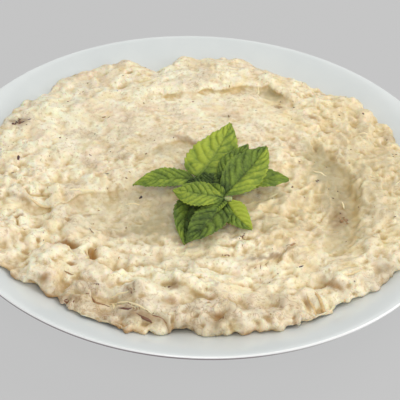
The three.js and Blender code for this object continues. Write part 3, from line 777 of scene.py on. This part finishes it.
# Flecks that have places of their own, many of them a cluster of bits: (x, y, long, wide, turn
# in degrees, tone from 0 for charred black to 1 for cream, number of bits), in mm.
FLECKS = [
    (-93, 33, 9, 5, 10, 0.24, 12), (-71.5, 24, 1.8, 1.2, 0, 0.3, 1), (-71, 56, 1.8, 1.2, 0, 0.3, 1),
    (-89, 5, 4.8, 2.4, 35, 0.15, 2), (-46, -4, 4.8, 1.8, -22, 0.15, 1),
    (-28, -17, 3.4, 1.8, -25, 0.12, 1), (-49.5, 43, 4, 1.2, 0, 0.45, 2),
    (44.6, -7, 2.8, 1.6, 0, 0.35, 2), (47, -63, 3.2, 2.2, 0, 0, 1),
    (-70.5, -49.3, 1.2, 1, 0, 0.05, 1), (-70, -52.8, 1.2, 1, 0, 0.05, 1),
    (21, -46, 3.4, 2.4, 60, 0.28, 8), (-10.5, -82, 4, 2.4, 10, 0.32, 6),
    (-27.5, -87.5, 3.6, 2, -30, 0.4, 5), (34, -73, 4.2, 1.6, -20, 0.35, 4),
    (-27, -95, 8, 2, -25, 0.35, 10), (-19, -99, 5, 1.8, -25, 0.3, 7),
    (-55, -92, 8, 1.6, -10, 0.3, 6), (12, -100, 7, 1.6, 5, 0.35, 6),
    (91, 60.5, 5, 2, -40, 0.4, 5), (49, 13.5, 1.4, 1, 0, 0.1, 3), (57.5, -1, 2, 2.4, 0, 0.2, 4),
    (62, -6, 1.2, 1.2, 0, 0.2, 2), (67, -7, 1.3, 1.2, 0, 0, 1), (69, -29, 5, 8, 0, 0.5, 12),
    (14, 49, 5, 2, 0, 0.45, 3), (39.6, 61.3, 4.6, 3.6, 0, 0.55, 8),
    (-44.5, -82.5, 3, 2, 0, 0.35, 3), (96, 20, 3, 1.6, 60, 0.3, 3),
    (-50, -45, 5, 0.8, -30, 0.3, 2), (31, -62, 9, 1.4, 25, 0.45, 5),
    (-57.5, -58, 6, 1.4, -10, 0.5, 3),
]
# Strands that have places of their own: (line, radius, tone), in mm.
STRANDS = [
    ([(52, -82), (55, -86), (58, -90)], 0.8, 0.75), ([(49, -84), (52, -89), (53, -93)], 0.6, 0.75),
    ([(-64, -62), (-58, -60), (-55, -64), (-52, -68)], 0.6, 0.95),
    ([(-50, -57), (-49, -62), (-50, -66)], 0.7, 1.0),
    ([(-37, -89), (-29, -92), (-22, -96), (-15, -101)], 0.5, 0.95),
    ([(-64, -87), (-56, -89), (-47, -88)], 0.7, 1.0), ([(-83, -24), (-75, -27), (-68, -29)], 0.7, 0.85),
    ([(-62, -20), (-57, -17), (-50, -15)], 0.7, 0.95), ([(60, 56), (66, 52), (70, 50)], 0.6, 0.85),
    ([(64, -72), (70, -69), (77, -67)], 0.6, 0.85), ([(-61, -88.5), (-56, -90), (-52, -92)], 0.5, 0.35),
    ([(-47, -88.5), (-41, -90), (-35, -93)], 0.5, 0.45),
    ([(-33, -96.5), (-29, -97.8), (-26, -97)], 0.8, 0.25),
    ([(-25, -101), (-20.5, -103), (-17.5, -104)], 0.7, 0.3),
    ([(-21, -98.5), (-16, -101), (-11, -103)], 0.6, 0.4),
    ([(-58, -75.5), (-55.5, -76.5), (-53, -77)], 0.4, 0.5),
    ([(40, -53), (43, -51), (45, -49)], 0.5, 0.5),
]


def smooth_line(stops, steps):
    """Points along a smooth line through a few stops, in metres."""
    stops = [Vector(stop) * MM for stop in stops]
    padded = [2 * stops[0] - stops[1], *stops, 2 * stops[-1] - stops[-2]]
    line = []
    for k in range(steps + 1):
        place = k / steps * (len(stops) - 1)
        index = min(int(place), len(stops) - 2)
        t = place - index
        a, b, c, d = padded[index:index + 4]
        line.append(0.5 * ((2 * b) + (c - a) * t + (2 * a - 5 * b + 4 * c - d) * t * t
                           + (3 * b - a - 3 * c + d) * t ** 3))
    return line


def tube(bm, line, radii, sides):
    """A closed tube along a line: a circle, extruded and turned from point to point."""
    direction = (line[1] - line[0]).normalized()
    turn = direction.to_track_quat("Z", "Y").to_matrix().to_4x4()
    ring = bmesh.ops.create_circle(bm, cap_ends=True, radius=radii[0], segments=sides,
                                   matrix=Matrix.Translation(line[0]) @ turn)["verts"]
    ring_edges = [edge for edge in {e for v in ring for e in v.link_edges}
                  if all(v in ring for v in edge.verts)]
    for k in range(1, len(line)):
        ring_edges, verts = extruded(bm, ring_edges)
        ahead = (line[min(k + 1, len(line) - 1)] - line[k - 1]).normalized()
        swing = direction.rotation_difference(ahead).to_matrix().to_4x4()
        grow = Matrix.Scale(radii[k] / radii[k - 1], 4)
        move = Matrix.Translation(line[k]) @ swing @ grow @ Matrix.Translation(-line[k - 1])
        bmesh.ops.transform(bm, matrix=move, verts=verts)
        direction = ahead
    bmesh.ops.contextual_create(bm, geom=ring_edges)


heap_faces = [tuple(p.vertices) for p in heap_mesh.polygons if len(p.vertices) < 5]
heap_top = BVHTree.FromPolygons([v.co for v in heap_mesh.vertices], heap_faces)


def add_fleck(bm, x, y, long, wide, turn, tone):
    spot, normal = below(heap_top, x * MM, y * MM)
    if spot is None:
        return
    place = (Matrix.Translation(spot) @ normal.to_track_quat("Z", "Y").to_matrix().to_4x4()
             @ Matrix.Rotation(math.radians(turn), 4, "Z")
             @ Matrix.Diagonal((long / 2 * MM, wide / 2 * MM, FLECK_RISE, 1)))
    made = bmesh.ops.create_icosphere(bm, subdivisions=1, radius=1, matrix=place)["verts"]
    for vertex in made:
        vertex.co += (vertex.co - spot) * rng.uniform(-0.3, 0.3)
        vertex[tone_layer] = tone


def add_strand(bm, line, radius, tone):
    route = smooth_line([(*place, 0) for place in line], STRAND_STEPS)
    spots = [below(heap_top, point.x, point.y)[0] for point in route]
    if None in spots:
        return
    spots = [spot + DOWN * 0.6 * radius * MM for spot in spots]
    old = set(bm.verts)
    radii = [radius * MM * (0.3 + math.sin(math.pi * (k + 0.7) / (STRAND_STEPS + 1.4)))
             for k in range(STRAND_STEPS + 1)]
    tube(bm, spots, radii, STRAND_SIDES)
    for vertex in bm.verts:
        if vertex not in old:
            vertex[tone_layer] = tone


def anywhere(reach):
    """A random place in plan, spread evenly out to the reach."""
    away, way = reach * math.sqrt(rng.random()), rng.uniform(0, math.tau)
    return away * math.cos(way), away * math.sin(way)


rng = np.random.default_rng(FLECK_SEED)
bm = bmesh.new()
tone_layer = bm.verts.layers.float.new("tone")
for x, y, long, wide, turn, tone, count in FLECKS:
    for _ in range(count):
        along, across = rng.normal(0, 0.3, 2) * (count > 1)
        dx, dy = turned(along * long, across * wide, -math.radians(turn))
        share = 1 / math.sqrt(count)
        add_fleck(bm, x + dx, y + dy, long * share * rng.uniform(0.6, 1.1),
                  wide * share * rng.uniform(0.5, 1.0), turn + rng.uniform(-25, 25),
                  tone + rng.uniform(-0.06, 0.12))
for _ in range(LOOSE_FLECKS):
    add_fleck(bm, *anywhere(FLECK_REACH), rng.uniform(*FLECK_LONG), rng.uniform(*FLECK_WIDE),
              rng.uniform(0, 180), rng.uniform(*FLECK_TONE))
for line, radius, tone in STRANDS:
    add_strand(bm, line, radius, tone)
for _ in range(LOOSE_FIBRES):
    x, y = anywhere(FIBRE_REACH)
    way = rng.uniform(0, math.pi)
    long, curl = rng.uniform(*FIBRE_HALF_LENGTH), rng.uniform(-1, 1)
    ends = [(x - long * math.cos(way), y - long * math.sin(way)),
            (x - curl * math.sin(way), y + curl * math.cos(way)),
            (x + long * math.cos(way), y + long * math.sin(way))]
    add_strand(bm, ends, rng.uniform(*FIBRE_RADIUS), rng.uniform(*FIBRE_TONE))

bits = Paint("aubergine_bits", IOR=1.42, Subsurface_Weight=0.15, Subsurface_Scale=0.5 * MM,
             Coat_Weight=0.3, Coat_Roughness=0.15)
skin_to_cream = bits.ramp(bits.toned(bits.noise(900, detail=2), 0.16), (0.05, (0.018, 0.012, 0.016)),
                          (0.25, (0.09, 0.03, 0.03)), (0.5, (0.30, 0.14, 0.06)),
                          (0.8, (0.66, 0.45, 0.20)), (1.05, (0.94, 0.80, 0.50)))
bits.link(skin_to_cream, "Base Color")
bits.rough(bits.noise(700), (0.3, 0.3), (0.7, 0.5))
add_piece(mesh_from(bm, "skin_and_fibres"), bits.material, "aubergine_dip")

# ---- Mint
# The top of a mint shoot: a short stalk, nine leaves and four young ones. Each leaf is a grid
# bent along its midrib, with toothed edges and the blade puffed up between its veins.
LEAF_THICKNESS = 0.35 * MM
LEAF_CLEARANCE = 0.35 * MM
STEPS_ALONG = 108
STEPS_ACROSS = 48
TEETH = 13
TOOTH_DEPTH = 0.10
VEINS = 7
VEIN_LEAN = 0.26
LEAF_WAVE = 0.45
# The relief of a blade, in mm; puffs and cockles are those of one that is LEAF_SIZE long.
LEAF_SIZE = 30
PUFF_HEIGHT = 0.62
COCKLE_HEIGHT = 0.45
VEIN_DEPTH = 0.45
MIDRIB_DEPTH = 0.55
CELL_DEPTH = 0.20
# Base, tip, width, where it is broadest, roll, fold of the left and right half, arch, sway,
# painted light of the left and right half, lit or shaded; in mm and degrees, seen from the base to the
# tip.
LEAVES = {
    "left": ((-2.8, -8.2, 35.9), (-32, -14.8, 36), 13.5, 0.38, 4, 8, 12, 1.5, 0.6, 0.60, 0.66),
    "back": ((-1.2, -8.4, 37.8), (13.8, 25.8, 46), 24.5, 0.29, 4, 6, -8, 1, 2.2, 0.94, 0.72),
    "back_small": ((9, -12, 39.4), (22.6, 9.4, 45.2), 12, 0.45, 0, 0, 12, 1, 0.2, 0.44, 0.50),
    "right_tall": ((11.3, -27, 41.8), (31.6, 6, 47), 19.5, 0.40, 0, 34, 4, 1, 1.5, 0.48, 0.80),
    "right_low": ((6, -12, 36.4), (42.6, -8, 38.6), 17, 0.58, 4, 12, 4, 1.6, 0.3, 0.64, 0.60),
    "centre": ((11.6, -28.4, 42), (-12.6, -22.6, 40.2), 17.5, 0.46, 5, 0, -4, 1.5, -1.4, 0.74, 0.66),
    "front_left": ((1, -15, 35.2), (-5.7, -53, 33.2), 14, 0.42, 0, 4, 20, 0.5, 3, 0.26, 0.50),
    "front": ((12.2, -29, 40), (-5, -53.8, 35.2), 17.5, 0.42, 0, 14, 5, 1, -2, 0.42, 0.36),
    "front_right": ((12.6, -27.6, 40.2), (25, -42.8, 35.4), 12, 0.48, 0, 26, -10, 1, 2.4, 1.15, 0.5),
}
# Young leaves that sit where the big ones meet, in the same terms; the two inner ones are painted very
# dark, as painted shade in the gap between the big leaves.
YOUNG_LEAVES = {
    "over": ((11.6, -27.8, 42.4), (4.6, -19.6, 42.6), 5.5, 0.4, 20, 10, 20, 0.4, 0, 0.85, 0.55),
    "under": ((12.2, -28.6, 41), (6.3, -37, 38.6), 6, 0.4, 0, 14, 14, 0.4, 0, 0.55, 0.45),
    # Painted shade: these two are nearly black, filling the shaded gap under the big leaves.
    "inner": ((7, -17, 38.6), (-7, -10.6, 36.6), 10, 0.4, 0, 0, 0, 0.6, 0, 0.06, 0.12),
    "inner_back": ((6, -15, 38), (8, -1, 38.6), 13, 0.42, 0, 0, 0, 0.6, 0, 0.20, 0.24),
}
leaf_paint = Paint("mint_blade", IOR=1.4, Roughness=0.6, Specular_IOR_Level=0.32,
                   Subsurface_Weight=0.12, Subsurface_Scale=0.5 * MM,
                   Subsurface_Radius=(0.5, 0.9, 0.15))
patchy = leaf_paint.noise(420, detail=3, roughness=0.6)
green = leaf_paint.ramp(leaf_paint.scaled(leaf_paint.toned(patchy, 0.28), 0.88),
                        (0.06, (0.012, 0.026, 0.006)), (0.34, (0.073, 0.117, 0.024)),
                        (0.62, (0.18, 0.26, 0.038)), (0.98, (0.41, 0.49, 0.058)))
green = leaf_paint.mix(leaf_paint.mask("vein"), green, (0.44, 0.50, 0.13))
leaf_paint.link(green, "Base Color")
leaf_paint.rough(leaf_paint.noise(260, detail=2), (0.3, 0.5), (0.7, 0.66))
leaf_paint.bump(leaf_paint.noise(1400, detail=2, roughness=0.6), 0.25, 0.12 * MM)


def add_leaf(name, number, values, *nodes):
    """One leaf, from a flat grid to a toothed, folded blade puffed up between its veins."""
    base, tip, width, broad, roll, fold_left, fold_right, arch, sway, painted_light_left, painted_light_right = values
    base, tip = Vector(base), Vector(tip)
    long = (tip - base).length
    forward = (tip - base).normalized()
    side = forward.cross(Vector((0, 0, 1))).normalized()
    side.rotate(Matrix.Rotation(math.radians(-roll), 3, forward))
    up = side.cross(forward)
    bm = bmesh.new()
    bmesh.ops.create_grid(bm, x_segments=STEPS_ACROSS, y_segments=STEPS_ALONG, size=1.0)
    leaf_mesh = mesh_from(bm, name)
    grid = read(leaf_mesh.vertices, "co")
    across, along = grid[:, 0], (grid[:, 1] + 1) / 2
    bulge = np.maximum(np.sin(np.pi * along ** (math.log(0.5) / math.log(broad))), 0) ** 0.85
    outline = np.maximum(0.07, bulge)
    bow = 4 * along * (1 - along)
    fold = np.radians(np.where(across < 0, fold_left, fold_right))
    tooth = (along * TEETH + 0.37 * number) % 1.0
    notch = 1 + TOOTH_DEPTH * (tooth - 0.6) * np.abs(across) ** 8 * fade(along, 0.05, 0.2)
    reach = width / 2 * outline * across * notch
    spot = np.column_stack([reach, along * long, 0 * along + 10.3 * number])
    rank = (along - VEIN_LEAN * np.abs(across) ** 1.35) * VEINS + 0.35 * swell(spot, 7.0, 22)
    to_vein = np.abs(rank - np.round(rank)) * 2
    strength = fade(along, 0.02, 0.12) * (1 - 0.5 * np.abs(across) ** 3)
    side_vein = np.exp(-(to_vein / 0.22) ** 2) * strength
    midrib = np.exp(-(reach / (0.5 * (1.15 - along))) ** 2)
    puff = np.sin(np.pi * unit(to_vein) / 2) ** 1.2 * np.sin(np.pi * np.abs(across)) ** 0.7
    cockle = swell(spot, 5.0, 21)
    cells = np.exp(-(swell(spot, 1.9, 23) / 0.16) ** 2)
    size = long / LEAF_SIZE
    lift = (PUFF_HEIGHT * puff * bow ** 0.6 * size + COCKLE_HEIGHT * cockle * size
            - VEIN_DEPTH * side_vein - MIDRIB_DEPTH * midrib - CELL_DEPTH * cells)
    wave = LEAF_WAVE * np.sin(9 * along + 2 * across) * across ** 2
    blade = (np.array(base) + along[:, None] * np.array(tip - base)
             + (reach * np.cos(fold) + sway * bow)[:, None] * np.array(side)
             + (np.abs(reach) * np.sin(fold) + arch * bow + wave + lift)[:, None] * np.array(up)) * MM
    for index, point in enumerate(blade):
        ground = below(heap_top, point[0], point[1])[0]
        if ground:
            blade[index, 2] = max(point[2], ground.z + LEAF_CLEARANCE)
    put(leaf_mesh, blade)
    # Painted light and shade: each half lit or shaded as given, lighter on the puffs and cockles,
    # darker in the vein grooves, along the midrib and towards the base; the margins are lighter too.
    light = painted_light_left + (painted_light_right - painted_light_left) * fade(across, -0.08, 0.08)
    light = (light + 0.14 * (puff - 0.4) - 0.14 * side_vein - 0.18 * midrib - 0.16 * cells
             + 0.22 * cockle)
    light += 0.16 * fade(np.abs(across), 0.86, 1.0) - 0.35 * fade(0.22 - along, 0, 0.22)
    keep_mask(leaf_mesh, "tone", light)
    thread = np.exp(-(to_vein / 0.07) ** 2) * strength + np.exp(-(reach / 0.16) ** 2)
    keep_mask(leaf_mesh, "vein", unit(thread) * 0.35)
    piece = add_piece(leaf_mesh, leaf_paint.material, "mint_leaf", *nodes)
    thick = piece.modifiers.new("thickness", "SOLIDIFY")
    thick.thickness = LEAF_THICKNESS
    thick.offset = 0


for number, (leaf, values) in enumerate(LEAVES.items()):
    add_leaf("mint_" + leaf, number, values, "mint_leaf_" + leaf)
for number, (leaf, values) in enumerate(YOUNG_LEAVES.items()):
    add_leaf("young_leaf_" + leaf, number + len(LEAVES), values)

# The stalk: a round tube under the leaves, whose pale end shows at their middle.
STALK_LINE = [(-2.8, -7.2, 35.4), (3, -13.5, 36.9), (8, -21.5, 38.6), (12.4, -27.8, 40.6),
              (15.2, -28.8, 41.4)]
STALK_RADIUS = 1.1 * MM
STALK_STEPS = 24
STALK_SIDES = 16
stalk_paint = Paint("mint_stalk", IOR=1.4, Subsurface_Weight=0.2, Subsurface_Scale=1 * MM)
pale = stalk_paint.ramp(stalk_paint.noise(300, detail=3), (0.3, (0.34, 0.40, 0.14)),
                        (0.7, (0.55, 0.58, 0.28)))
stalk_paint.link(pale, "Base Color")
stalk_paint.rough(stalk_paint.noise(500), (0.3, 0.4), (0.7, 0.55))
stalk_paint.bump(stalk_paint.noise(900, detail=2), 0.2, 0.1 * MM)

bm = bmesh.new()
tube(bm, smooth_line(STALK_LINE, STALK_STEPS), [STALK_RADIUS] * (STALK_STEPS + 1), STALK_SIDES)
add_piece(mesh_from(bm, "mint_stalk"), stalk_paint.material, "mint_stem", "mint_stem")

# ---- Table top, lights and camera
# A plain pale table top. The key light is broad, high on the right and a little behind; the
# strongest one fills from above the front, a weak one lights the back, and a small low one on
# the right catches the lip. The world fills evenly.
TABLE_REACH = 3.0
LIGHT_AIM = Vector((0, 0, 0.03))
WORLD_COLOUR = (0.97, 0.985, 1.0, 1)
WORLD_STRENGTH = 0.45
table_paint = Paint("pale_table", Roughness=0.9, Emission_Strength=0.905)
table_paint.link(table_paint.ramp(table_paint.noise(3, detail=2), (0.3, 0.045), (0.7, 0.05)),
                 "Base Color")
table_paint.link(table_paint.ramp(table_paint.noise(2, detail=2), (0.3, 0.545), (0.7, 0.55)),
                 "Emission Color")
bm = bmesh.new()
bmesh.ops.create_grid(bm, x_segments=2, y_segments=2, size=TABLE_REACH)
table = add_object("table", mesh_from(bm, "table"))
table.data.materials.append(table_paint.material)


def area_light(name, place, size, power, colour=(1, 1, 1)):
    """A round light that faces the dish; its place and size in metres, its power in watts."""
    data = bpy.data.lights.new(name, "AREA")
    data.shape = "DISK"
    data.size = size
    data.energy = power
    data.color = colour
    light = add_object(name, data)
    light.location = place
    light.rotation_euler = (LIGHT_AIM - Vector(place)).to_track_quat("-Z", "Y").to_euler()


area_light("key", (0.44, 0.16, 0.78), 0.62, 2.45, (1.0, 0.98, 0.95))
area_light("back", (0.0, 0.75, 0.62), 0.5, 0.7, (1.0, 0.99, 0.97))
area_light("front", (0.0, -0.7, 0.75), 0.5, 3.1, (1.0, 0.99, 0.97))
area_light("right", (0.75, -0.2, 0.30), 0.4, 1.15)

scene = bpy.context.scene
world = bpy.data.worlds.new("studio")
scene.world = world
world.use_nodes = True
background = world.node_tree.nodes["Background"]
background.inputs["Color"].default_value = WORLD_COLOUR
background.inputs["Strength"].default_value = WORLD_STRENGTH
scene.view_settings.view_transform = "Standard"
scene.view_settings.look = "None"

CAMERA_ELEVATION = math.radians(39.104)
CAMERA_ROLL = math.radians(2.708)
CAMERA_DISTANCE = 0.58
CAMERA_TARGET = Vector((0.0004, -0.02276, 0.035))
CAMERA_SENSOR = 36
CAMERA_LENS = 110.25
CAMERA_NEAR = 0.01
camera = add_object("camera", bpy.data.cameras.new("camera"))
camera.data.sensor_width = CAMERA_SENSOR
camera.data.lens = CAMERA_LENS
camera.data.clip_start = CAMERA_NEAR
camera.matrix_world = (Matrix.Translation(CAMERA_TARGET)
                       @ Matrix.Rotation(math.pi / 2 - CAMERA_ELEVATION, 4, "X")
                       @ Matrix.Rotation(CAMERA_ROLL, 4, "Z")
                       @ Matrix.Translation((0, 0, CAMERA_DISTANCE)))
scene.camera = camera
